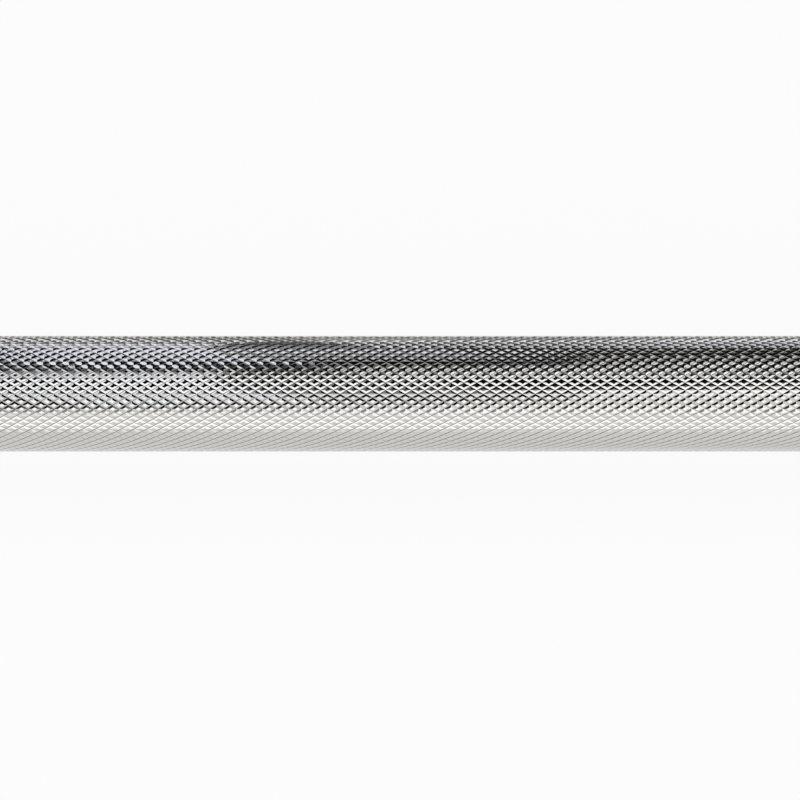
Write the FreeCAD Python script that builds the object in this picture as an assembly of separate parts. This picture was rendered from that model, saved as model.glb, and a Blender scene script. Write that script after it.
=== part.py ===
# Olympic barbell: a knurled steel shaft with a free-spinning plate sleeve on needle bearings at each end.
# The bar lies along X with its middle at the origin and +Z up, in millimetres. One end is modelled at +X,
# and the other end is the same set of pieces given half a turn about Z.
import FreeCAD, Part
import math
import os

# Lengths along the bar
grip_length = 1310.0  # between the inboard faces of the two stop collars
sleeve_length = 415.0  # loadable length outboard of one stop collar
collar_width = 30.0
collar_lip = 6.0  # web of the stop collar that closes the sleeve's inner end
shoulder_reach = 3.0  # how far the grip diameter runs into the sleeve

# Shaft
shaft_diameter = 28.0
shoulder_height = 1.5  # step from the grip diameter down to the bearing journal
centre_knurl_length = 120.0
grip_knurl_start = 210.0  # from the middle of the bar
grip_knurl_margin = 15.0  # bare steel between the knurl and the stop collar
ring_mark_spacing = 910.0  # between the centres of the two hand-spacing rings
ring_mark_width = 5.0
ring_mark_depth = 0.25
knurl_rise = 0.12  # crest of the rolled knurl above the bare steel
knurl_run_out = 0.8  # taper where a knurled band ends
shaft_end_chamfer = 1.5

# Sleeve tube and stop collar
sleeve_diameter = 50.0
sleeve_end_chamfer = 2.0
bore_chamfer = 0.6
collar_diameter = 75.0
collar_inboard_chamfer = 3.0
collar_outboard_chamfer = 1.5
collar_seat_step = 0.5  # seat for the stop collar, turned below the sleeve's diameter
collar_mouth_clearance = 0.3  # mouth of the stop collar's bore round the sleeve
lip_clearance = 0.3  # stop collar's web round the shaft
press_gap = 0.01  # between pieces that are pressed together

# Dust seal, an O-ring in the web of the stop collar
seal_section = 2.6
seal_touch = 0.06  # running gap to the shaft
seal_groove_room = 0.2  # extra width of the seal's groove

# Needle bearings
bearings_per_end = 2  # a pair of bearings at each end of the sleeve
needle_nominal = 2.5  # gap between the journal and the race
needle_play = 0.02
needle_length = 15.8
cage_bar = 1.8  # least bar between two needles on the pitch circle
cage_clear = 0.55  # cage to the journal, and cage to the race
pocket_gap = 0.06
cup_wall = 1.0
cup_lip = 0.8
cup_lip_clear = 0.9  # lip of the cup round the journal
cup_width = 20.0
cup_gap = 0.3  # between the cups of a pair, and to the spacer tube
cup_setback = 1.5  # cup behind the floor of the washer's counterbore

# Spacer tube between the two pairs of bearings
spacer_wall = 1.4
spacer_clearance = 0.2

# Thrust washers, retaining rings and end cap
thrust_washer_thickness = 3.0
washer_step = 2.2  # counterbore that takes a washer, wider than the bearing bore
washer_clearance = 0.2
washer_journal_clearance = 0.1
axial_play = 0.1  # each side of a thrust washer
shaft_ring_thickness = 1.2
shaft_ring_groove_depth = 0.55
shaft_ring_beam = 2.8
shaft_ring_margin = 3.5  # shaft left outboard of the ring's groove
cap_step = 0.8  # seat that carries the end cap
cap_thickness = 3.0
cap_clearance = 0.05
cap_dish = 0.8
cap_rim = 3.0
cap_gap = 3.0  # end of the shaft to the end cap
cap_ring_thickness = 1.5
cap_ring_groove_depth = 1.0
cap_ring_beam = 2.6
sleeve_end_land = 1.2  # sleeve outboard of the end cap's retaining ring
ring_groove_room = 0.1  # a groove is wider than its ring
ring_seat_gap = 0.05  # ring to the floor of its groove
ring_opening = 34.0  # degrees left open between a retaining ring's lugs
lug_radius = 1.9
lug_hole_radius = 0.9

# Radii that follow from the sizes above
shaft_radius = shaft_diameter / 2
crest_radius = shaft_radius + knurl_rise
journal_radius = shaft_radius - shoulder_height
race_radius = journal_radius + needle_nominal
pitch_radius = (journal_radius + race_radius) / 2
needle_radius = needle_nominal / 2 - needle_play
needle_count = int(2 * math.pi * pitch_radius / (2 * needle_radius + cage_bar))
cup_radius = race_radius + cup_wall
bearing_bore_radius = cup_radius + press_gap
washer_bore_radius = bearing_bore_radius + washer_step
cap_bore_radius = washer_bore_radius + cap_step
sleeve_radius = sleeve_diameter / 2
collar_seat_radius = sleeve_radius - collar_seat_step
collar_radius = collar_diameter / 2
lip_bore_radius = shaft_radius + lip_clearance
seal_mean_radius = shaft_radius + seal_touch + seal_section / 2

# Stations along X at the +X end, from the stop collar outwards
collar_inboard = grip_length / 2
tube_inboard = collar_inboard + collar_lip
collar_outboard = collar_inboard + collar_width
sleeve_end = collar_outboard + sleeve_length
shoulder = tube_inboard + shoulder_reach
inner_washer = shoulder + axial_play
inner_floor = inner_washer + thrust_washer_thickness + axial_play
cap_ring_outer_wall = sleeve_end - sleeve_end_land
cap_ring_inner_wall = cap_ring_outer_wall - cap_ring_thickness - ring_groove_room
cap_face = cap_ring_inner_wall
cap_seat = cap_face - cap_thickness
shaft_end = cap_seat - cap_gap
shaft_ring_outer_wall = shaft_end - shaft_ring_margin
shaft_ring_inner_wall = shaft_ring_outer_wall - shaft_ring_thickness - ring_groove_room
outer_washer = shaft_ring_inner_wall - axial_play - thrust_washer_thickness
outer_floor = outer_washer - axial_play
first_cups = [inner_floor + cup_setback + i * (cup_width + cup_gap) for i in range(bearings_per_end)]
last_cups = [outer_floor - cup_setback - cup_width - i * (cup_width + cup_gap) for i in range(bearings_per_end)]
cup_stations = first_cups + last_cups[::-1]
spacer_start = first_cups[-1] + cup_width + cup_gap
spacer_end = last_cups[-1] - cup_gap

ORIGIN = FreeCAD.Vector(0, 0, 0)
BAR_AXIS = FreeCAD.Vector(1, 0, 0)
UP = FreeCAD.Vector(0, 0, 1)


def turned(outline):
    """Solid turned about the bar's axis from a closed outline of (x, radius) points."""
    points = [FreeCAD.Vector(x, radius, 0) for x, radius in outline]
    face = Part.Face(Part.makePolygon(points + points[:1]))
    return face.revolve(ORIGIN, BAR_AXIS, 360)


def rod(start, end, radius, y=0.0, z=0.0):
    """Plain rod along X between two stations."""
    return Part.makeCylinder(radius, end - start, FreeCAD.Vector(start, y, z), BAR_AXIS)


def tube(start, end, inner_radius, outer_radius):
    """Plain tube along X between two stations."""
    return turned([(start, inner_radius), (end, inner_radius), (end, outer_radius), (start, outer_radius)])


def knurled_bands():
    """(start, end) of each knurled band on the +X half of the shaft, outside the centre knurl."""
    ring_start = (ring_mark_spacing - ring_mark_width) / 2
    ring_end = (ring_mark_spacing + ring_mark_width) / 2
    return [(grip_knurl_start, ring_start), (ring_end, collar_inboard - grip_knurl_margin)]


def shaft_half_outline():
    """Radius of the shaft against x, from the middle of the bar to the +X end."""
    ring_floor = shaft_radius - ring_mark_depth
    inner_band, outer_band = knurled_bands()
    centre_end = centre_knurl_length / 2
    groove_radius = journal_radius - shaft_ring_groove_depth
    return [
        (centre_end - knurl_run_out, crest_radius),
        (centre_end, shaft_radius),
        (inner_band[0], shaft_radius),
        (inner_band[0] + knurl_run_out, crest_radius),
        (inner_band[1], crest_radius),
        (inner_band[1], ring_floor),
        (outer_band[0], ring_floor),
        (outer_band[0], crest_radius),
        (outer_band[1] - knurl_run_out, crest_radius),
        (outer_band[1], shaft_radius),
        (shoulder, shaft_radius),
        (shoulder, journal_radius),
        (shaft_ring_inner_wall, journal_radius),
        (shaft_ring_inner_wall, groove_radius),
        (shaft_ring_outer_wall, groove_radius),
        (shaft_ring_outer_wall, journal_radius),
        (shaft_end - shaft_end_chamfer, journal_radius),
        (shaft_end, journal_radius - shaft_end_chamfer),
    ]


def make_shaft():
    """One steel bar: knurled grip, ring marks, and a journal with a ring groove at each end."""
    half = shaft_half_outline()
    far_half = [(-x, radius) for x, radius in reversed(half)]
    return turned([(-shaft_end, 0)] + far_half + half + [(shaft_end, 0)])


def make_sleeve_tube():
    """Plate sleeve: a thick tube with a counterbore for a thrust washer at each end."""
    ring_floor = cap_bore_radius + cap_ring_groove_depth
    return turned(
        [
            (tube_inboard, washer_bore_radius),
            (inner_floor, washer_bore_radius),
            (inner_floor, bearing_bore_radius + bore_chamfer),
            (inner_floor + bore_chamfer, bearing_bore_radius),
            (outer_floor - bore_chamfer, bearing_bore_radius),
            (outer_floor, bearing_bore_radius + bore_chamfer),
            (outer_floor, washer_bore_radius),
            (cap_seat, washer_bore_radius),
            (cap_seat, cap_bore_radius),
            (cap_ring_inner_wall, cap_bore_radius),
            (cap_ring_inner_wall, ring_floor),
            (cap_ring_outer_wall, ring_floor),
            (cap_ring_outer_wall, cap_bore_radius),
            (sleeve_end, cap_bore_radius),
            (sleeve_end, sleeve_radius - sleeve_end_chamfer),
            (sleeve_end - sleeve_end_chamfer, sleeve_radius),
            (collar_outboard, sleeve_radius),
            (collar_outboard, collar_seat_radius),
            (tube_inboard, collar_seat_radius),
        ]
    )


def make_stop_collar():
    """Flange that stops the plates, pressed over the sleeve's inner end, with a web round the shaft."""
    groove_middle = collar_inboard + collar_lip / 2
    groove_half = (seal_section + seal_groove_room) / 2
    groove_radius = seal_mean_radius + seal_section / 2 + ring_seat_gap
    bore_radius = collar_seat_radius + press_gap
    mouth_radius = sleeve_radius + collar_mouth_clearance
    return turned(
        [
            (collar_inboard, lip_bore_radius),
            (groove_middle - groove_half, lip_bore_radius),
            (groove_middle - groove_half, groove_radius),
            (groove_middle + groove_half, groove_radius),
            (groove_middle + groove_half, lip_bore_radius),
            (tube_inboard, lip_bore_radius),
            (tube_inboard, bore_radius),
            (collar_outboard - (mouth_radius - bore_radius), bore_radius),
            (collar_outboard, mouth_radius),
            (collar_outboard, collar_radius - collar_outboard_chamfer),
            (collar_outboard - collar_outboard_chamfer, collar_radius),
            (collar_inboard + collar_inboard_chamfer, collar_radius),
            (collar_inboard, collar_radius - collar_inboard_chamfer),
        ]
    )


def make_dust_seal():
    """O-ring that rides in the stop collar's groove and wipes the shaft."""
    middle = FreeCAD.Vector(collar_inboard + collar_lip / 2, 0, 0)
    return Part.makeTorus(seal_mean_radius, seal_section / 2, middle, BAR_AXIS)


def make_thrust_washer(station):
    """Flat bronze washer that takes the sleeve's end thrust."""
    inner_radius = journal_radius + washer_journal_clearance
    return tube(station, station + thrust_washer_thickness, inner_radius, washer_bore_radius - washer_clearance)


def make_needle_cup(station):
    """Drawn steel cup of a needle bearing, with a lip at each end that keeps the cage in."""
    end = station + cup_width
    lip_radius = journal_radius + cup_lip_clear
    return turned(
        [
            (station, lip_radius),
            (station + cup_lip, lip_radius),
            (station + cup_lip, race_radius),
            (end - cup_lip, race_radius),
            (end - cup_lip, lip_radius),
            (end, lip_radius),
            (end, cup_radius),
            (station, cup_radius),
        ]
    )


def make_needle_cage(station):
    """Cage of a needle bearing: a ring with one window for each needle."""
    middle = station + cup_width / 2
    half_length = cup_width / 2 - cup_lip - cup_gap
    inner_radius = journal_radius + cage_clear
    outer_radius = race_radius - cage_clear
    cage = tube(middle - half_length, middle + half_length, inner_radius, outer_radius)
    window_length = needle_length + 2 * pocket_gap
    window_width = 2 * (needle_radius + pocket_gap)
    corner = FreeCAD.Vector(middle - window_length / 2, -window_width / 2, 0)
    window = Part.makeBox(window_length, window_width, race_radius, corner)
    windows = []
    for i in range(needle_count):
        turned_window = window.copy()
        turned_window.rotate(ORIGIN, BAR_AXIS, 360 * i / needle_count)
        windows.append(turned_window)
    return cage.cut(windows)


def make_needles(station):
    """The needles of one bearing, spaced round the journal in the cage's windows."""
    start = station + (cup_width - needle_length) / 2
    needles = []
    for i in range(needle_count):
        angle = 2 * math.pi * i / needle_count
        y = -pitch_radius * math.sin(angle)
        z = pitch_radius * math.cos(angle)
        needles.append(rod(start, start + needle_length, needle_radius, y, z))
    return Part.makeCompound(needles)


def make_spacer_tube():
    """Thin tube that keeps the two pairs of bearings apart in the sleeve."""
    outer_radius = bearing_bore_radius - spacer_clearance
    return tube(spacer_start, spacer_end, outer_radius - spacer_wall, outer_radius)


def make_retaining_ring(station, thickness, inner_radius, outer_radius, lug_circle):
    """Spring-steel ring with a gap at the top and a holed lug on each side of the gap."""
    end = station + thickness
    half_gap = math.radians(ring_opening / 2)
    reach = 2 * outer_radius
    side = reach * math.tan(half_gap)
    gap_points = [
        FreeCAD.Vector(station, 0, 0),
        FreeCAD.Vector(station, side, reach),
        FreeCAD.Vector(station, -side, reach),
    ]
    gap_face = Part.Face(Part.makePolygon(gap_points + gap_points[:1]))
    ring = tube(station, end, inner_radius, outer_radius).cut(gap_face.extrude(BAR_AXIS * thickness))
    lug_angle = half_gap + math.asin(lug_radius / lug_circle)
    holes = []
    for side_sign in (1, -1):
        y = side_sign * lug_circle * math.sin(lug_angle)
        z = lug_circle * math.cos(lug_angle)
        ring = ring.fuse(rod(station, end, lug_radius, y, z))
        holes.append(rod(station, end, lug_hole_radius, y, z))
    return ring.cut(holes).removeSplitter()


def make_shaft_ring():
    """Retaining ring in the shaft's groove, which keeps the sleeve on the shaft."""
    inner_radius = journal_radius - shaft_ring_groove_depth + ring_seat_gap
    outer_radius = inner_radius + shaft_ring_beam
    station = shaft_ring_inner_wall + ring_groove_room / 2
    return make_retaining_ring(station, shaft_ring_thickness, inner_radius, outer_radius, outer_radius)


def make_cap_ring():
    """Retaining ring in the sleeve's mouth, which keeps the end cap in."""
    outer_radius = cap_bore_radius + cap_ring_groove_depth - ring_seat_gap
    inner_radius = outer_radius - cap_ring_beam
    station = cap_ring_inner_wall + ring_groove_room / 2
    return make_retaining_ring(station, cap_ring_thickness, inner_radius, outer_radius, inner_radius)


def make_end_cap():
    """Turned disc that closes the sleeve, dished inside a raised rim."""
    radius = cap_bore_radius - cap_clearance
    rim_radius = radius - cap_ring_beam - cap_rim
    return turned(
        [
            (cap_seat, 0),
            (cap_face - cap_dish, 0),
            (cap_face - cap_dish, rim_radius - cap_dish),
            (cap_face, rim_radius),
            (cap_face, radius),
            (cap_seat, radius),
        ]
    )


def end_pieces():
    """Node name to solid for the pieces at the +X end."""
    pieces = {
        "sleeve_tube": make_sleeve_tube(),
        "stop_collar": make_stop_collar(),
        "dust_seal": make_dust_seal(),
        "inner_thrust_washer": make_thrust_washer(inner_washer),
        "outer_thrust_washer": make_thrust_washer(outer_washer),
        "spacer_tube": make_spacer_tube(),
        "shaft_retaining_ring": make_shaft_ring(),
        "end_cap": make_end_cap(),
        "cap_retaining_ring": make_cap_ring(),
    }
    for number, station in enumerate(cup_stations, 1):
        pieces[f"needle_cup_{number}"] = make_needle_cup(station)
        pieces[f"needle_cage_{number}"] = make_needle_cage(station)
        pieces[f"needles_{number}"] = make_needles(station)
    return pieces


def half_turn(shape):
    """The same piece at the -X end."""
    other = shape.copy()
    other.rotate(ORIGIN, UP, 180)
    return other


def main():
    os.makedirs("parts", exist_ok=True)
    nodes = {"shaft": make_shaft()}
    for name, shape in end_pieces().items():
        nodes["right_" + name] = shape
        nodes["left_" + name] = half_turn(shape)
    for name, shape in nodes.items():
        shape.exportStep(f"parts/{name}.step")
    print(len(nodes), "nodes,", needle_count, "needles in a bearing")


main()
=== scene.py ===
import math

import bmesh
import bpy
import numpy as np
from mathutils import Matrix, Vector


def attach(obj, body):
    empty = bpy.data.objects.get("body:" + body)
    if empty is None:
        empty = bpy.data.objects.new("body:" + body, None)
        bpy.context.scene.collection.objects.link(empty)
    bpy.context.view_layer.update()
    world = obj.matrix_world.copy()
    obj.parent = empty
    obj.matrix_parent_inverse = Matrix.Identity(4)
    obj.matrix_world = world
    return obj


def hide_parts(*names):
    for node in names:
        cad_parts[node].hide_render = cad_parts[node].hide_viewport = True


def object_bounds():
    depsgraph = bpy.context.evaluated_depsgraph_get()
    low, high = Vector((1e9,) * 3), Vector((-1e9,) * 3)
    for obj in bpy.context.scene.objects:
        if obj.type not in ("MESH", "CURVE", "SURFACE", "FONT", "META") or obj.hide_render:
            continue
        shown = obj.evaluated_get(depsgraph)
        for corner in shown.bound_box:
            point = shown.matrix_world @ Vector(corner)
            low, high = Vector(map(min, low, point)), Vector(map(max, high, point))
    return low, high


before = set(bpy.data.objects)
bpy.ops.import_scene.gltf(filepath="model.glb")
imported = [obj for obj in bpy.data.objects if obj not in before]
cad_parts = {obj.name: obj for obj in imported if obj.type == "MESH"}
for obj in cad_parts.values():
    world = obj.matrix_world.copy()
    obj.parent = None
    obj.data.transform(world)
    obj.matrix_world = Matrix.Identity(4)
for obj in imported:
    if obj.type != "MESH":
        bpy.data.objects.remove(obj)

cad_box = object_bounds()

# The shaft's bare steel: one long bar of spring steel, turned and ground, then hard-chromed all over.
# The hand rings, the shoulder and the bearing journals with their spring-ring grooves are cut before plating.
# Stations are metres along the bar from its middle, and the left end is the right one turned half round.
shaft_radius = 0.014
hand_ring_radius = 0.01375
journal_radius = 0.0125
spring_groove_radius = 0.01195
centre_knurl_end = 0.060
grip_knurl_start = 0.210
hand_ring_start = 0.4525
hand_ring_end = 0.4575
hand_ring_slope = 0.0002
hand_ring_ease = 0.00005
grip_knurl_end = 0.640
shoulder = 0.664
spring_groove_start = 1.0864
spring_groove_end = 1.0877
shaft_end = 1.0912
shaft_end_chamfer = 0.0015
journal_ease = 0.0002
knurl_starts = 50  # grooves of each family round the shaft
knurl_turn = math.radians(-2.02)  # angle from the top at which the rolls first bit
shaft_facets = 2 * knurl_starts  # the rings of bare steel meet the knurl's edge point for point
bar_ends = {"right": False, "left": True}  # whether a piece is turned round to that end


def linear(hex_colour):
    """sRGB hex to linear RGBA: a straight foot below 0.04045 and a power of 2.4 above it."""
    srgb = np.array([int(hex_colour[i:i + 2], 16) for i in (1, 3, 5)]) / 255
    rgb = np.where(srgb <= 0.04045, srgb / 12.92, ((srgb + 0.055) / 1.055) ** 2.4)
    return (*rgb, 1.0)


def add_node(tree, kind, links=(), stops=(), **settings):
    """Adds a shader node. Settings are its inputs' values or its properties, and stops a ramp's two colours.

    Links give further inputs, by name or by number, the output of another node or a plain value.
    """
    node = tree.nodes.new(kind)
    for name, value in settings.items():
        socket = node.inputs.get(name.replace("_", " "))
        if socket:
            socket.default_value = value
        else:
            setattr(node, name, value)
    for element, (place, colour) in zip(node.color_ramp.elements if stops else (), stops):
        element.position = place
        element.color = linear(colour)
    for name, source in links:
        if isinstance(source, bpy.types.NodeSocket):
            tree.links.new(source, node.inputs[name])
        else:
            node.inputs[name].default_value = source
    return node


def start_finish(name, colour, roughness, metallic=1.0):
    """A new material: its node tree, its shader, and the Object coordinates that patterns are drawn in."""
    material = bpy.data.materials.new(name)
    material.use_nodes = True
    shader = material.node_tree.nodes["Principled BSDF"]
    shader.inputs["Base Color"].default_value = linear(colour)
    shader.inputs["Roughness"].default_value = roughness
    shader.inputs["Metallic"].default_value = metallic
    place = add_node(material.node_tree, "ShaderNodeTexCoord").outputs["Object"]
    return material, material.node_tree, shader, place


def surface_piece(name, points, faces, material):
    """A smooth mesh object from an array of points and a list of face arrays, one row to a face."""
    mesh = bpy.data.meshes.new(name)
    corners = np.concatenate([part.ravel() for part in faces])
    sides = np.concatenate([np.full(len(part), part.shape[1]) for part in faces])
    mesh.vertices.add(len(points))
    mesh.vertices.foreach_set("co", points.astype(np.float32).ravel())
    mesh.loops.add(len(corners))
    mesh.loops.foreach_set("vertex_index", corners.astype(np.int32))
    mesh.polygons.add(len(sides))
    mesh.polygons.foreach_set("loop_start", (np.cumsum(sides) - sides).astype(np.int32))
    mesh.polygons.foreach_set("use_smooth", np.ones(len(sides), dtype=bool))
    mesh.materials.append(material)
    mesh.update(calc_edges=True)
    piece = bpy.data.objects.new(name, mesh)
    bpy.context.scene.collection.objects.link(piece)
    return piece


def fit_piece(piece, body, slot, *nodes):
    """The piece rides on a body and stands for CAD nodes, which are hidden. The slot is not used."""
    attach(piece, body)
    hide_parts(*nodes)


def turned_piece(name, outlines, around, material, flip=False):
    """Surfaces turned about the bar: every (x, radius) point is a ring, and every two rings a strip of faces.

    A ring's point at angle a is (x, radius * sin a, radius * cos a). The metal is on an outline's right as
    it is followed, with x to the right and the radius upwards. Flip gives the piece half a turn about the
    vertical axis, to the left end. Points that meet, at a pole or where an outline closes, become one.
    """
    angle = knurl_turn + 2 * np.pi * np.arange(around) / around
    points, faces, count = [], [], 0
    for outline in outlines:
        x, radius = np.array(outline).T[:, :, None]
        rings = np.stack([x + 0 * angle, radius * np.sin(angle), radius * np.cos(angle)], axis=-1)
        corner = count + np.arange(len(outline) * around).reshape(-1, around)
        beside = np.roll(corner, -1, axis=1)
        strips = np.stack([corner[:-1], corner[1:], beside[1:], beside[:-1]], axis=-1)
        points.append(rings.reshape(-1, 3))
        faces.append(strips.reshape(-1, 4))
        count += corner.size
    points = np.concatenate(points) * ((-1, -1, 1) if flip else (1, 1, 1))
    piece = surface_piece(name, points, faces, material)
    welded = bmesh.new()
    welded.from_mesh(piece.data)
    bmesh.ops.remove_doubles(welded, verts=welded.verts, dist=1e-7)
    welded.to_mesh(piece.data)
    welded.free()
    return piece


def eased(outline, ease, closed=False):
    """Outline with each corner broken by a quadratic arc of four points that is tangent to both sides.

    The arc is (1-t)^2 A + 2t(1-t) P + t^2 B for t of 0, 1/3, 2/3 and 1, where P is the corner and A and B lie
    on its two sides, one ease away. A support two eases away keeps the flats flat. Short sides take a smaller
    ease, so that the supports of both their corners fit.
    """
    largest_share = 0.22  # of the shorter side, which an ease may take
    outline = np.array(outline)
    corner, before, after = outline, np.roll(outline, 1, axis=0), np.roll(outline, -1, axis=0)
    if not closed:
        corner, before, after = corner[1:-1], before[1:-1], after[1:-1]
    back, ahead = before - corner, after - corner
    back_length, ahead_length = np.linalg.norm(back, axis=1), np.linalg.norm(ahead, axis=1)
    cut = np.minimum(ease, largest_share * np.minimum(back_length, ahead_length))
    start = corner + back * (cut / back_length)[:, None]
    end = corner + ahead * (cut / ahead_length)[:, None]
    t = np.array([0, 1 / 3, 2 / 3, 1])[None, :, None]
    arc = (1 - t) ** 2 * start[:, None] + 2 * t * (1 - t) * corner[:, None] + t ** 2 * end[:, None]
    first_support, last_support = 2 * start - corner, 2 * end - corner
    rows = np.concatenate([first_support[:, None], arc, last_support[:, None]], axis=1).reshape(-1, 2)
    return np.concatenate([rows, rows[:1]] if closed else [outline[:1], rows, outline[-1:]])


# Hard chrome on ground steel: a clear cool mirror, broken only by the faint rings that the grinding left.
# Those rings are a few hundredths of a millimetre apart and are drawn at 0.6 mm, so that they show.
ground_ring_spacing = 0.0006
ground_cloud_size = 0.030
ring_stretch = (1, 0.02, 0.02)  # draws a pattern out across the bar, into rings round it
noise_range = {"From_Min": 0.3, "From_Max": 0.7}  # holds nearly all of a noise's values
ground_chrome, tree, shader, place = start_finish("hard_chrome_on_ground_steel", "#cbcbcd", 0.08)
rings = add_node(tree, "ShaderNodeMapping", [("Vector", place)], Scale=ring_stretch)
grind = add_node(tree, "ShaderNodeTexNoise", [("Vector", rings.outputs[0])], Scale=1 / ground_ring_spacing,
                 Detail=3.0)
cloud = add_node(tree, "ShaderNodeTexNoise", [("Vector", place)], Scale=1 / ground_cloud_size, Detail=4.0)
haze = add_node(tree, "ShaderNodeMapRange", [("Value", cloud.outputs[0])], **noise_range,
                To_Min=0.06, To_Max=0.13)
lines = add_node(tree, "ShaderNodeBump", [("Height", grind.outputs[0])], Strength=0.25, Distance=0.00002)
tree.links.new(haze.outputs[0], shader.inputs["Roughness"])
tree.links.new(lines.outputs[0], shader.inputs["Normal"])

grip_gap = [(centre_knurl_end, shaft_radius), (grip_knurl_start, shaft_radius)]
hand_ring = eased([
    (hand_ring_start, shaft_radius),
    (hand_ring_start + hand_ring_slope, hand_ring_radius),
    (hand_ring_end - hand_ring_slope, hand_ring_radius),
    (hand_ring_end, shaft_radius),
], hand_ring_ease)
journal = eased([
    (grip_knurl_end, shaft_radius),
    (shoulder, shaft_radius),
    (shoulder, journal_radius),
    (spring_groove_start, journal_radius),
    (spring_groove_start, spring_groove_radius),
    (spring_groove_end, spring_groove_radius),
    (spring_groove_end, journal_radius),
    (shaft_end - shaft_end_chamfer, journal_radius),
    (shaft_end, journal_radius - shaft_end_chamfer),
    (shaft_end, 0),
], journal_ease)
bare_outlines = [grip_gap, hand_ring, journal]
for side, flip in bar_ends.items():
    bare = turned_piece(f"{side}_bare_steel", bare_outlines, shaft_facets, ground_chrome, flip)
    fit_piece(bare, "shaft", "shaft_chrome", "shaft")

# The knurl: a pair of rolls presses two crossing families of V-grooves into the shaft, and the steel between
# them stands up as small diamonds with crowned tops. It is plated after rolling, so that every facet shines.
knurl_lead = 0.003025  # along the bar between two grooves of one family
flank_share = 0.293  # of a diamond, from a groove's floor to the top of its flank
flank_height = 0.000168
crown_height = 0.000016
crest_radius = 0.01412
knurl_fade = 0.0016  # length over which the knurl rises at a band's ends


def knurled_band(start, end):
    """Points and faces of the diamonds between two stations, on a grid in u and v, which count the grooves.

    x = lead * (u - v) / 2 and angle = pi * (u + v) / starts, so each diamond spans one unit of u and of v.
    Its floor corners lie where both are whole, its top corners a flank's share inside them, and its crown in
    the middle. Rows of diamonds follow each other along x, every second one half a diamond round. At both
    ends the radius fades to that of bare steel, and a strip closes the jagged edge to a plain ring. The faces
    are a list of those of the flanks, those of the crowns and those of the two strips.
    """
    first = math.ceil(2 * start / knurl_lead) + 1
    last = math.floor(2 * end / knurl_lead) - 1
    row = np.arange(first - 1, last + 2)[:, None, None]
    around = np.arange(knurl_starts)[None, :, None]
    low, high = flank_share, 1 - flank_share
    u = np.array([0, low, high, high, low, 0.5])
    v = np.array([0, low, low, high, high, 0.5])
    drop = np.array([flank_height + crown_height] + 4 * [crown_height] + [0])
    x = knurl_lead / 2 * (row + u - v) + 0 * around
    angle = knurl_turn + np.pi / knurl_starts * (2 * around + row % 2 + u + v - 1)
    fade = np.clip(np.minimum(x - start, end - x) / knurl_fade, 0, 1)
    radius = shaft_radius + (crest_radius - drop - shaft_radius) * fade * fade * (3 - 2 * fade)
    points = np.stack([x, radius * np.sin(angle), radius * np.cos(angle)], axis=-1).reshape(-1, 3)

    # A diamond owns one floor corner, at u and v of zero, and takes the other three from its neighbours.
    own = np.arange(x.size).reshape(x.shape)
    ahead = np.roll(own, -1, axis=1)
    odd = row[1:-1, :, 0] % 2 == 1
    floor_00 = own[1:-1, :, 0]
    floor_10 = np.where(odd, ahead[2:, :, 0], own[2:, :, 0])
    floor_01 = np.where(odd, ahead[:-2, :, 0], own[:-2, :, 0])
    floor_11 = ahead[1:-1, :, 0]
    floors = np.stack([floor_00, floor_10, floor_11, floor_01], axis=-1).reshape(-1, 4)
    tops = own[1:-1, :, 1:5].reshape(-1, 4)
    crown = own[1:-1, :, 5:].reshape(-1, 1)
    next_floors, next_tops = np.roll(floors, -1, axis=1), np.roll(tops, -1, axis=1)
    flanks = np.stack([floors, next_floors, next_tops, tops], axis=-1).reshape(-1, 4)
    crowns = np.stack([tops, next_tops, crown + 0 * tops], axis=-1).reshape(-1, 3)

    count = x.size
    rims, strips = [], []
    jagged_edges = (start, first, floor_00[0], floor_01[0]), (end, last, floor_00[-1], floor_10[-1])
    for station, number, feet, tips in jagged_edges:
        edge = np.stack([feet, tips], axis=-1).ravel()
        rim_angle = knurl_turn + np.pi / knurl_starts * (number % 2 - 1 + np.arange(shaft_facets))
        rims.append(np.stack([np.full(shaft_facets, station), shaft_radius * np.sin(rim_angle),
                              shaft_radius * np.cos(rim_angle)], axis=-1))
        rim = count + np.arange(shaft_facets)
        left, right = (rim, edge) if station == start else (edge, rim)
        strips.append(np.stack([left, right, np.roll(right, -1), np.roll(left, -1)], axis=-1))
        count += shaft_facets

    # Only the points that a face uses are kept, and the faces are numbered anew.
    parts = flanks, crowns, *strips
    used, renumbered = np.unique(np.concatenate([part.ravel() for part in parts]), return_inverse=True)
    breaks = np.cumsum([part.size for part in parts])[:-1]
    faces = [numbers.reshape(part.shape) for numbers, part in zip(np.split(renumbered, breaks), parts)]
    return np.concatenate([points, *rims])[used], faces


# Hard chrome on rolled steel: mirror-bright facets with a slight orange-peel from the rolling. A dark colour
# painted along the grooves' floors, where the groove attribute is near one, is painted shade for the grooves'
# recesses. It is lighter in one family of grooves, whose lines are paler in the photograph.
peel_size = 0.0005
rolled_cloud_size = 0.012
# Painted groove shade: how strongly the floors of each family of grooves are darkened.
full_groove_shade, faint_groove_shade = 1.0, 0.83  # the attribute on the floors of the two families
rolled_colour = "#cccbc8"
# The colour of the painted shade along the grooves' floors.
groove_shade_colour = "#3f3e3c"
rolled_chrome, tree, shader, place = start_finish("hard_chrome_on_rolled_knurl", rolled_colour, 0.05)
peel = add_node(tree, "ShaderNodeTexNoise", [("Vector", place)], Scale=1 / peel_size, Detail=2.0)
cloud = add_node(tree, "ShaderNodeTexNoise", [("Vector", place)], Scale=1 / rolled_cloud_size, Detail=4.0)
haze = add_node(tree, "ShaderNodeMapRange", [("Value", cloud.outputs[0])], **noise_range,
                To_Min=0.03, To_Max=0.07)
grain = add_node(tree, "ShaderNodeBump", [("Height", peel.outputs[0])], Strength=0.08, Distance=0.00002)
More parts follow.
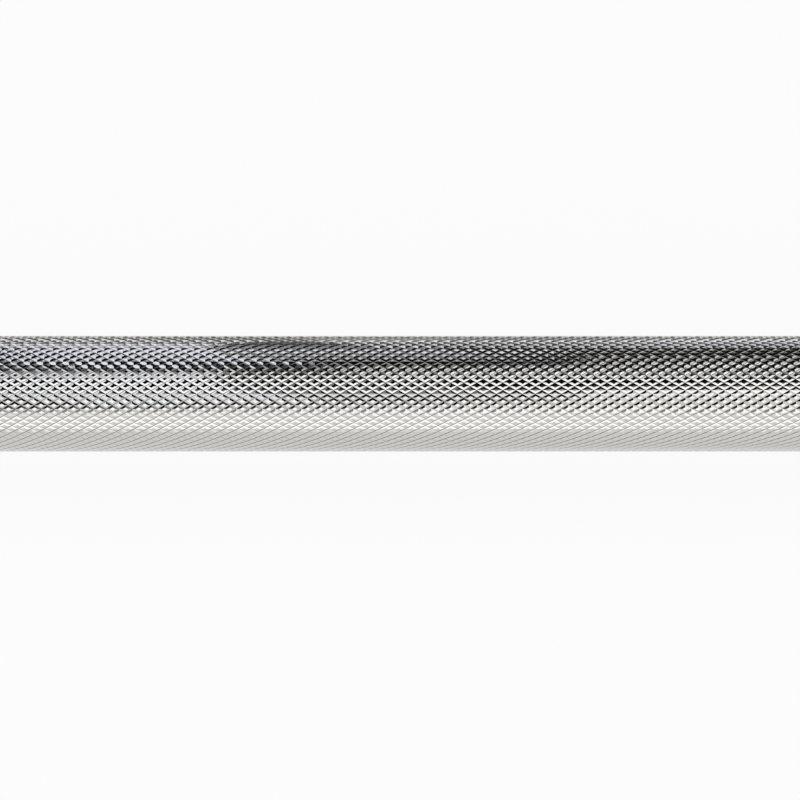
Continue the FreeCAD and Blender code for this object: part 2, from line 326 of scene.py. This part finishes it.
# Painted shade: the groove attribute mixes the chrome's colour towards the shade colour along the grooves.
groove = add_node(tree, "ShaderNodeAttribute", attribute_name="groove")
groove_shade_weight = add_node(tree, "ShaderNodeMapRange", [("Value", groove.outputs["Fac"])],
                interpolation_type="SMOOTHSTEP", From_Min=0.77, From_Max=0.94)
groove_shading = add_node(tree, "ShaderNodeValToRGB", [("Fac", groove_shade_weight.outputs[0])],
                stops=[(0, rolled_colour), (1, groove_shade_colour)])
tree.links.new(groove_shading.outputs[0], shader.inputs["Base Color"])
tree.links.new(haze.outputs[0], shader.inputs["Roughness"])
tree.links.new(grain.outputs[0], shader.inputs["Normal"])

knurled_bands = {
    "centre_knurl": (-centre_knurl_end, centre_knurl_end),
    "right_inner_knurl": (grip_knurl_start, hand_ring_start),
    "right_outer_knurl": (hand_ring_end, grip_knurl_end),
    "left_inner_knurl": (-hand_ring_start, -grip_knurl_start),
    "left_outer_knurl": (-grip_knurl_end, -hand_ring_end),
}
for name, (start, end) in knurled_bands.items():
    points, faces = knurled_band(start, end)
    band = surface_piece(name, points, faces, rolled_chrome)
    flanks, crowns = faces[:2]

    # All edges are sharp but those that run up to a crown, which is the last corner of its triangles.
    crowned = np.zeros(len(points), dtype=bool)
    crowned[crowns[:, 2]] = True
    edge_ends = np.zeros(2 * len(band.data.edges), dtype=np.int32)
    band.data.edges.foreach_get("vertices", edge_ends)
    sharp = band.data.attributes.new("sharp_edge", "BOOLEAN", "EDGE")
    sharp.data.foreach_set("value", ~crowned[edge_ends.reshape(-1, 2)].any(axis=1))

    # A diamond's four flanks lie along one family of grooves and the other in turn, and a flank's first two
    # corners are on the floor.
    # The groove attribute carries the painted groove shade: full on one family's floors and lighter on the
    # other's.
    groove_shade_values = np.zeros(sum(part.size for part in faces), dtype=np.float32)
    floors = groove_shade_values[:flanks.size].reshape(-1, 4, 4)[:, :, :2]
    floors[:, 0::2] = full_groove_shade
    floors[:, 1::2] = faint_groove_shade
    groove = band.data.attributes.new("groove", "FLOAT", "CORNER")
    groove.data.foreach_set("value", groove_shade_values)
    fit_piece(band, "shaft", "shaft_chrome", "shaft")

# Thrust washers: flat rings of bearing bronze, faced on a lathe and soaked with oil. One sits on the shaft's
# shoulder and one under its retaining ring, and they take the sideways push of the sleeve.
# The tool leaves fine rings on the bronze, and the oil stains its open pores brown.
bronze_ring_spacing = 0.00025
pore_size = 0.0015


def axis_distance(tree, place):
    """The distance from the bar's axis: the length of a place whose x is set to zero."""
    flat = add_node(tree, "ShaderNodeMapping", [("Vector", place)], Scale=(0, 1, 1))
    length = add_node(tree, "ShaderNodeVectorMath", [("Vector", flat.outputs[0])], operation="LENGTH")
    return length.outputs["Value"]


def dress_nodes(material, *kinds):
    """Gives the CAD solids of these kinds a finish, at both ends of the bar."""
    for side in bar_ends:
        for kind in kinds:
            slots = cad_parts[f"{side}_{kind}"].data.materials
            slots.clear()
            slots.append(material)


bronze, tree, shader, place = start_finish("faced_bearing_bronze", "#d4b081", 0.35)
facing = add_node(tree, "ShaderNodeTexNoise", [("W", axis_distance(tree, place))], noise_dimensions="1D",
                  Scale=1 / bronze_ring_spacing, Detail=2.0)
pores = add_node(tree, "ShaderNodeTexNoise", [("Vector", place)], Scale=1 / pore_size, Detail=6.0)
stain = add_node(tree, "ShaderNodeValToRGB", [("Fac", pores.outputs[0])],
                 stops=[(0.35, "#8f6a3d"), (0.65, "#d4b081")])
cuts = add_node(tree, "ShaderNodeBump", [("Height", facing.outputs[0])], Strength=0.4, Distance=0.00003)
tree.links.new(stain.outputs[0], shader.inputs["Base Color"])
tree.links.new(cuts.outputs[0], shader.inputs["Normal"])
dress_nodes(bronze, "inner_thrust_washer", "outer_thrust_washer")

# Needle bearings: a drawn cup with rolled-in lips, a cage and twenty needles each, all of hardened bearing
# steel. Four are pressed into each sleeve, a pair at either end, and run straight on the shaft's journal.
# The grinding's rings are a few hundredths of a millimetre apart and are drawn at 0.3 mm, so that they show.
bearings = 4  # in each sleeve
bearing_ring_spacing = 0.0003
bearing_stretch = (1, 0.03, 0.03)
bearing_steel, tree, shader, place = start_finish("ground_bearing_steel", "#cecfd1", 0.2)
rings = add_node(tree, "ShaderNodeMapping", [("Vector", place)], Scale=bearing_stretch)
grind = add_node(tree, "ShaderNodeTexNoise", [("Vector", rings.outputs[0])], Scale=1 / bearing_ring_spacing,
                 Detail=3.0)
gloss = add_node(tree, "ShaderNodeMapRange", [("Value", grind.outputs[0])], **noise_range,
                 To_Min=0.15, To_Max=0.28)
lines = add_node(tree, "ShaderNodeBump", [("Height", grind.outputs[0])], Strength=0.3, Distance=0.00001)
tree.links.new(gloss.outputs[0], shader.inputs["Roughness"])
tree.links.new(lines.outputs[0], shader.inputs["Normal"])
for number in range(1, bearings + 1):
    dress_nodes(bearing_steel, f"needle_cup_{number}", f"needle_cage_{number}", f"needles_{number}")

# Spacer tubes: plain drawn steel tube, left as drawn and oiled. One in each sleeve keeps the two pairs of
# bearings apart, and the die has scored it along its length.
score_spacing = 0.0008
oil_patch = 0.025
score_stretch = (0.01, 1, 1)  # draws a pattern out along the bar
drawn_steel, tree, shader, place = start_finish("drawn_oiled_steel", "#b8b7b5", 0.35)
along = add_node(tree, "ShaderNodeMapping", [("Vector", place)], Scale=score_stretch)
scores = add_node(tree, "ShaderNodeTexNoise", [("Vector", along.outputs[0])], Scale=1 / score_spacing,
                  Detail=4.0)
patches = add_node(tree, "ShaderNodeTexNoise", [("Vector", place)], Scale=1 / oil_patch, Detail=5.0)
oil = add_node(tree, "ShaderNodeValToRGB", [("Fac", patches.outputs[0])],
               stops=[(0.35, "#8d877d"), (0.65, "#b8b7b5")])
lines = add_node(tree, "ShaderNodeBump", [("Height", scores.outputs[0])], Strength=0.4, Distance=0.00003)
tree.links.new(oil.outputs[0], shader.inputs["Base Color"])
tree.links.new(lines.outputs[0], shader.inputs["Normal"])
dress_nodes(drawn_steel, "spacer_tube")

# Sleeve tubes: thick steel tube, turned outside, bored for the bearings and grooved inside its mouth for the
# cap's ring. The inner end is turned down to take the stop collar, and the outside is hard-chromed.
sleeve_facets = 160
sleeve_ease = 0.0003
sleeve_radius = 0.025
collar_seat_radius = 0.0245
bearing_bore_radius = 0.01601
washer_bore_radius = 0.01821
cap_bore_radius = 0.01901
cap_ring_groove_radius = 0.02001
tube_inboard = 0.661
inner_floor = 0.6672  # of the counterbore for the inner thrust washer
collar_outboard = 0.685
outer_floor = 1.0832  # of the one for the outer thrust washer
cap_seat = 1.0942
cap_ring_groove_start = 1.0972
cap_ring_groove_end = 1.0988
sleeve_end = 1.1
sleeve_end_chamfer = 0.002
bore_chamfer = 0.0006
sleeve_outline = eased([
    (tube_inboard, collar_seat_radius),
    (collar_outboard, collar_seat_radius),
    (collar_outboard, sleeve_radius),
    (sleeve_end - sleeve_end_chamfer, sleeve_radius),
    (sleeve_end, sleeve_radius - sleeve_end_chamfer),
    (sleeve_end, cap_bore_radius),
    (cap_ring_groove_end, cap_bore_radius),
    (cap_ring_groove_end, cap_ring_groove_radius),
    (cap_ring_groove_start, cap_ring_groove_radius),
    (cap_ring_groove_start, cap_bore_radius),
    (cap_seat, cap_bore_radius),
    (cap_seat, washer_bore_radius),
    (outer_floor, washer_bore_radius),
    (outer_floor, bearing_bore_radius + bore_chamfer),
    (outer_floor - bore_chamfer, bearing_bore_radius),
    (inner_floor + bore_chamfer, bearing_bore_radius),
    (inner_floor, bearing_bore_radius + bore_chamfer),
    (inner_floor, washer_bore_radius),
    (tube_inboard, washer_bore_radius),
], sleeve_ease, closed=True)

# Hard chrome on turned steel: bright, with the lathe's rings under it and a haze of fine scratches along the
# sleeve, where plates slide on and off. Rings and scratches are about a tenth of a millimetre apart and are
# drawn at 0.7 and 0.9 mm, so that they show.
turned_ring_spacing = 0.0007
scuff_spacing = 0.0009
scuff_stretch = (0.012, 1, 1)
turned_chrome, tree, shader, place = start_finish("hard_chrome_on_turned_steel", "#c9cacc", 0.15)
rings = add_node(tree, "ShaderNodeMapping", [("Vector", place)], Scale=ring_stretch)
turning = add_node(tree, "ShaderNodeTexNoise", [("Vector", rings.outputs[0])], Scale=1 / turned_ring_spacing,
                   Detail=3.0)
along = add_node(tree, "ShaderNodeMapping", [("Vector", place)], Scale=scuff_stretch)
scuff = add_node(tree, "ShaderNodeTexNoise", [("Vector", along.outputs[0])], Scale=1 / scuff_spacing,
                 Detail=5.0)
haze = add_node(tree, "ShaderNodeMapRange", [("Value", scuff.outputs[0])], From_Min=0.35, From_Max=0.7,
                To_Min=0.09, To_Max=0.24)
lines = add_node(tree, "ShaderNodeBump", [("Height", turning.outputs[0])], Strength=0.35, Distance=0.00003)
tree.links.new(haze.outputs[0], shader.inputs["Roughness"])
tree.links.new(lines.outputs[0], shader.inputs["Normal"])
for side, flip in bar_ends.items():
    tube = turned_piece(f"{side}_plate_sleeve", [sleeve_outline], sleeve_facets, turned_chrome, flip)
    fit_piece(tube, f"{side}_sleeve", "sleeve_chrome", f"{side}_sleeve_tube")

# Stop collars: heavy steel rings, turned and chromed, pressed over the sleeves' inner ends, where they stop
# the plates. A web closes the sleeve round the shaft, with a groove in it for the seal.
collar_ease = 0.0004
collar_radius = 0.03748
inboard_face_radius = 0.0345
outboard_face_radius = 0.036
collar_mouth_radius = 0.0253
collar_bore_radius = 0.02451
web_bore_radius = 0.0143
seal_groove_radius = 0.01671
collar_inboard = 0.655
collar_inboard_chamfer = 0.003
collar_outboard_chamfer = 0.0015
collar_mouth_chamfer = collar_mouth_radius - collar_bore_radius
seal_groove_start = 0.6566
seal_groove_end = 0.6594
collar_outline = eased([
    (collar_inboard, inboard_face_radius),
    (collar_inboard + collar_inboard_chamfer, collar_radius),
    (collar_outboard - collar_outboard_chamfer, collar_radius),
    (collar_outboard, outboard_face_radius),
    (collar_outboard, collar_mouth_radius),
    (collar_outboard - collar_mouth_chamfer, collar_bore_radius),
    (tube_inboard, collar_bore_radius),
    (tube_inboard, web_bore_radius),
    (seal_groove_end, web_bore_radius),
    (seal_groove_end, seal_groove_radius),
    (seal_groove_start, seal_groove_radius),
    (seal_groove_start, web_bore_radius),
    (collar_inboard, web_bore_radius),
], collar_ease, closed=True)

# Hard chrome on faced steel: the tool's rings run round the rim and, on the flat faces, round the shaft, so
# they follow the sum of station and radius. They are about a tenth of a millimetre apart and are drawn at
# 0.5 mm, so that they show. Handling leaves soft clouds in the gloss.
faced_ring_spacing = 0.0005
faced_cloud_size = 0.020
faced_chrome, tree, shader, place = start_finish("hard_chrome_on_faced_steel", "#c9cacc", 0.15)
station = add_node(tree, "ShaderNodeSeparateXYZ", [("Vector", place)]).outputs["X"]
travel = add_node(tree, "ShaderNodeMath", [(0, station), (1, axis_distance(tree, place))], operation="ADD")
facing = add_node(tree, "ShaderNodeTexNoise", [("W", travel.outputs[0])], noise_dimensions="1D",
                  Scale=1 / faced_ring_spacing, Detail=2.0)
cloud = add_node(tree, "ShaderNodeTexNoise", [("Vector", place)], Scale=1 / faced_cloud_size, Detail=3.0)
haze = add_node(tree, "ShaderNodeMapRange", [("Value", cloud.outputs[0])], **noise_range,
                To_Min=0.10, To_Max=0.20)
cuts = add_node(tree, "ShaderNodeBump", [("Height", facing.outputs[0])], Strength=0.35, Distance=0.00003)
tree.links.new(haze.outputs[0], shader.inputs["Roughness"])
tree.links.new(cuts.outputs[0], shader.inputs["Normal"])
for side, flip in bar_ends.items():
    collar = turned_piece(f"{side}_plate_stop", [collar_outline], sleeve_facets, faced_chrome, flip)
    fit_piece(collar, f"{side}_sleeve", "sleeve_chrome", f"{side}_stop_collar")

# Dust seals: O-rings of nitrile rubber, snapped into the collars' webs, which wipe the shaft and keep the oil
# in. Moulded rubber is matt and nearly black, with a bloom of grey here and there.
bloom_size = 0.004
rubber_grain = 0.0004
nitrile, tree, shader, place = start_finish("moulded_nitrile_rubber", "#2b2b2c", 0.6, metallic=0.0)
bloom = add_node(tree, "ShaderNodeTexNoise", [("Vector", place)], Scale=1 / bloom_size, Detail=6.0)
grey = add_node(tree, "ShaderNodeValToRGB", [("Fac", bloom.outputs[0])],
                stops=[(0.4, "#232324"), (0.75, "#4a4a4a")])
skin = add_node(tree, "ShaderNodeTexNoise", [("Vector", place)], Scale=1 / rubber_grain, Detail=3.0)
grain = add_node(tree, "ShaderNodeBump", [("Height", skin.outputs[0])], Strength=0.3, Distance=0.00005)
tree.links.new(grey.outputs[0], shader.inputs["Base Color"])
tree.links.new(grain.outputs[0], shader.inputs["Normal"])
dress_nodes(nitrile, "dust_seal")

# Retaining rings: stamped from spring steel, with a plier hole in each of two lugs. The outside ring keeps
# the sleeve on the shaft, and the inside ring the cap in the sleeve. Black phosphate gives them a matt coat
# of dark crystals, a few hundredths of a millimetre across and drawn at 0.3 mm, so that they show.
crystal_size = 0.0003
phosphate, tree, shader, place = start_finish("black_phosphate_on_spring_steel", "#61626a", 0.5)
crystal = add_node(tree, "ShaderNodeTexNoise", [("Vector", place)], Scale=1 / crystal_size, Detail=5.0)
speckle = add_node(tree, "ShaderNodeValToRGB", [("Fac", crystal.outputs[0])],
                   stops=[(0.35, "#505156"), (0.7, "#72737a")])
grain = add_node(tree, "ShaderNodeBump", [("Height", crystal.outputs[0])], Strength=0.3, Distance=0.00003)
tree.links.new(speckle.outputs[0], shader.inputs["Base Color"])
tree.links.new(grain.outputs[0], shader.inputs["Normal"])
dress_nodes(phosphate, "shaft_retaining_ring", "cap_retaining_ring")

# End caps: discs of aluminium, turned and faced with a shallow dish. They drop into the sleeves' mouths and
# are held by the inside rings, so that the bearings stay clean.
cap_ease = 0.00025
cap_radius = 0.01896
cap_face = cap_ring_groove_start
dish_radius = 0.01336
dish_depth = 0.0008
cap_outline = eased([
    (cap_seat, 0),
    (cap_seat, cap_radius),
    (cap_face, cap_radius),
    (cap_face, dish_radius),
    (cap_face - dish_depth, dish_radius - dish_depth),
    (cap_face - dish_depth, 0),
], cap_ease)

# Faced aluminium: soft satin, with the tool's rings round the middle, which draw the light into a bow tie.
# The rings are a tenth of a millimetre apart and are drawn at 0.35 mm, so that they show.
cap_ring_spacing = 0.00035
aluminium, tree, shader, place = start_finish("faced_aluminium", "#dadadc", 0.3)
facing = add_node(tree, "ShaderNodeTexNoise", [("W", axis_distance(tree, place))], noise_dimensions="1D",
                  Scale=1 / cap_ring_spacing, Detail=2.0)
satin = add_node(tree, "ShaderNodeMapRange", [("Value", facing.outputs[0])], **noise_range,
                 To_Min=0.22, To_Max=0.38)
cuts = add_node(tree, "ShaderNodeBump", [("Height", facing.outputs[0])], Strength=0.5, Distance=0.00004)
tree.links.new(satin.outputs[0], shader.inputs["Roughness"])
tree.links.new(cuts.outputs[0], shader.inputs["Normal"])
for side, flip in bar_ends.items():
    cap = turned_piece(f"{side}_sleeve_cap", [cap_outline], sleeve_facets, aluminium, flip)
    fit_piece(cap, f"{side}_sleeve", "cap_aluminium", f"{side}_end_cap")

# Floor: a plain matt white board, on which the bar lies with its two stop collars. A part of its white is its
# own to the camera and in mirrors, and the rest is the light that falls on it, with the bar's shadow.
floor_level = cad_box[0][2]
floor_half = 60.0
own_white = 0.9
board, tree, shader, place = start_finish("matt_white_board", "#faf9f8", 0.8, metallic=0.0)
ray = add_node(tree, "ShaderNodeLightPath").outputs
mirrored = add_node(tree, "ShaderNodeMath", [(0, ray["Is Glossy Ray"]), (1, ray["Is Transmission Ray"])],
                    operation="MAXIMUM")
seen = add_node(tree, "ShaderNodeMath", [(0, ray["Is Camera Ray"]), (1, mirrored.outputs[0])],
                operation="MAXIMUM")
share = add_node(tree, "ShaderNodeMath", [(0, seen.outputs[0]), (1, own_white)], operation="MULTIPLY")
white = add_node(tree, "ShaderNodeEmission", Color=linear("#ffffff"), Strength=1.0)
mix = add_node(tree, "ShaderNodeMixShader",
               [(0, share.outputs[0]), (1, shader.outputs[0]), (2, white.outputs[0])])
tree.links.new(mix.outputs[0], tree.nodes["Material Output"].inputs["Surface"])
corners = np.array([(-1, -1, 0), (1, -1, 0), (1, 1, 0), (-1, 1, 0)]) * floor_half + (0, 0, floor_level)
floor = surface_piece("floor", corners, [np.arange(4)[None]], board)

# Light: a studio with a bright wall in front of the bar, taller on the right, a dark ceiling and a dim back
# wall. Along the floor the room is white, higher up at the ends and behind than in front. Angles run from
# the front horizon over the bar to the back one, and x, y and z are those of a direction's unit vector.
wall_brightness = 1.65
wall_top = np.radians([29, 57])  # where the front wall begins to darken, and where the ceiling is dark
wall_rise = math.radians(42)  # added to the wall's top for each unit of x to the right
furthest_rise = 0.5  # x from which the wall rises no further
back_top = np.radians([112, 140])  # where the ceiling begins to lighten, and where the back wall is reached
back_white = 0.09  # of the white wall's light, on the back wall
skirting_height = 0.13  # z up to which the room is white at the ends and behind
skirting_growth = (-0.5, -0.05)  # y in front where that height is zero, and where it is reached
skirting_fade = 0.14  # further z in which the white gives way to the walls
world = bpy.data.worlds.new("studio")
bpy.context.scene.world = world
world.use_nodes = True
tree = world.node_tree
direction = add_node(tree, "ShaderNodeTexCoord").outputs["Generated"]
axes = add_node(tree, "ShaderNodeSeparateXYZ", [("Vector", direction)]).outputs
front = add_node(tree, "ShaderNodeMath", [(0, axes["Y"]), (1, -1)], operation="MULTIPLY").outputs[0]
over = add_node(tree, "ShaderNodeMath", [(0, axes["Z"]), (1, front)], operation="ARCTAN2").outputs[0]
right = add_node(tree, "ShaderNodeClamp", [("Value", axes["X"])], Min=0.0, Max=furthest_rise).outputs[0]
lean = add_node(tree, "ShaderNodeMath", [(0, right), (1, -wall_rise), (2, over)], operation="MULTIPLY_ADD")
ceiling = add_node(tree, "ShaderNodeMapRange", [("Value", lean.outputs[0])], interpolation_type="SMOOTHSTEP",
                   From_Min=wall_top[0], From_Max=wall_top[1])
back = add_node(tree, "ShaderNodeMapRange", [("Value", over)], interpolation_type="SMOOTHSTEP",
                From_Min=back_top[0], From_Max=back_top[1], To_Max=back_white)
dim = add_node(tree, "ShaderNodeMath", [(0, ceiling.outputs[0]), (1, back.outputs[0])], operation="SUBTRACT")
foot = add_node(tree, "ShaderNodeMapRange", [("Value", axes["Y"])], interpolation_type="SMOOTHSTEP",
                From_Min=skirting_growth[0], From_Max=skirting_growth[1], To_Max=skirting_height)
head = add_node(tree, "ShaderNodeMath", [(0, foot.outputs[0]), (1, skirting_fade)], operation="ADD")
shade = add_node(tree, "ShaderNodeMapRange",
                 [("Value", axes["Z"]), ("From Min", foot.outputs[0]), ("From Max", head.outputs[0]),
                  ("To Max", dim.outputs[0])], To_Min=1 - 1 / wall_brightness)
walls = add_node(tree, "ShaderNodeValToRGB", [("Fac", shade.outputs[0])],
                 stops=[(0, "#ffffff"), (1, "#0c0c0e")])
tree.links.new(walls.outputs[0], tree.nodes["Background"].inputs["Color"])
tree.nodes["Background"].inputs["Strength"].default_value = wall_brightness

# Softboxes stand far out round the grip. Each fills a span of x and one of angles over the bar, in degrees,
# and has a brightness, where one is white, and a colour. Its power is brightness times pi times its area.
view_x = 0.333006  # station of the grip that the camera looks at
softbox_distance = 40.0
softboxes = {
    "overhead_softbox": ((-0.32, 0.14), (112, 143), 1.0, "#f4f6ff"),
    "left_softbox": ((-0.655, -0.455), (61, 136), 1.45, "#e8efff"),
    "upper_left_softbox": ((-0.45, -0.27), (84, 122), 0.35, "#e8efff"),
    "right_softbox": ((0.48, 0.645), (65, 94), 0.9, "#ffffff"),
    "back_softbox": ((-0.30, 0.27), (134, 160), 0.25, "#ffffff"),
    "left_end_softbox": ((-0.98, -0.74), (65, 105), 5.5, "#ffffff"),
    "right_end_softbox": ((0.74, 0.98), (65, 105), 5.5, "#ffffff"),
}
for name, (span, angles, brightness, colour) in softboxes.items():
    left, right = np.arcsin(span)
    low, high = np.radians(angles)
    turn, rise = (left + right) / 2, (low + high) / 2
    away = np.array([np.sin(turn), -np.cos(turn) * np.cos(rise), np.cos(turn) * np.sin(rise)])
    wide = np.array([np.cos(turn), np.sin(turn) * np.cos(rise), -np.sin(turn) * np.sin(rise)])
    lamp = bpy.data.lights.new(name, "AREA")
    lamp.shape = "RECTANGLE"
    lamp.size = softbox_distance * (right - left)
    lamp.size_y = softbox_distance * np.cos(turn) * (high - low)
    lamp.color = linear(colour)[:3]
    lamp.energy = brightness * np.pi * lamp.size * lamp.size_y
    softbox = bpy.data.objects.new(name, lamp)
    softbox.visible_camera = False
    softbox.location = away * softbox_distance + (view_x, 0, 0)
    softbox.rotation_euler = Matrix(np.stack([wide, np.cross(away, wide), away], axis=1)).to_euler()
    bpy.context.scene.collection.objects.link(softbox)

# Camera: close in front of the right grip, looking down on it, as in the photograph. Its lens and tilt give
# the bar the width and the row that it has there.
picture_pixels = 800
view_distance = 0.290
view_elevation = math.radians(45)
bar_half_pixels = 57.95  # half of the bar's width in the photograph
bar_row = 393.7  # row of the bar's axis
focal_pixels = bar_half_pixels / math.tan(math.asin(crest_radius / view_distance))
tilt = view_elevation + math.atan((picture_pixels / 2 - bar_row) / focal_pixels)
camera = bpy.data.objects.new("camera", bpy.data.cameras.new("camera"))
camera.data.sensor_width = 36
camera.data.lens = camera.data.sensor_width * focal_pixels / picture_pixels
camera.data.clip_start = 0.01
camera.location = (view_x, -view_distance * math.cos(view_elevation),
                   view_distance * math.sin(view_elevation))
camera.rotation_euler = (math.pi / 2 - tilt, 0, 0)
bpy.context.scene.collection.objects.link(camera)
bpy.context.scene.camera = camera

bpy.context.scene.view_settings.view_transform = "Standard"
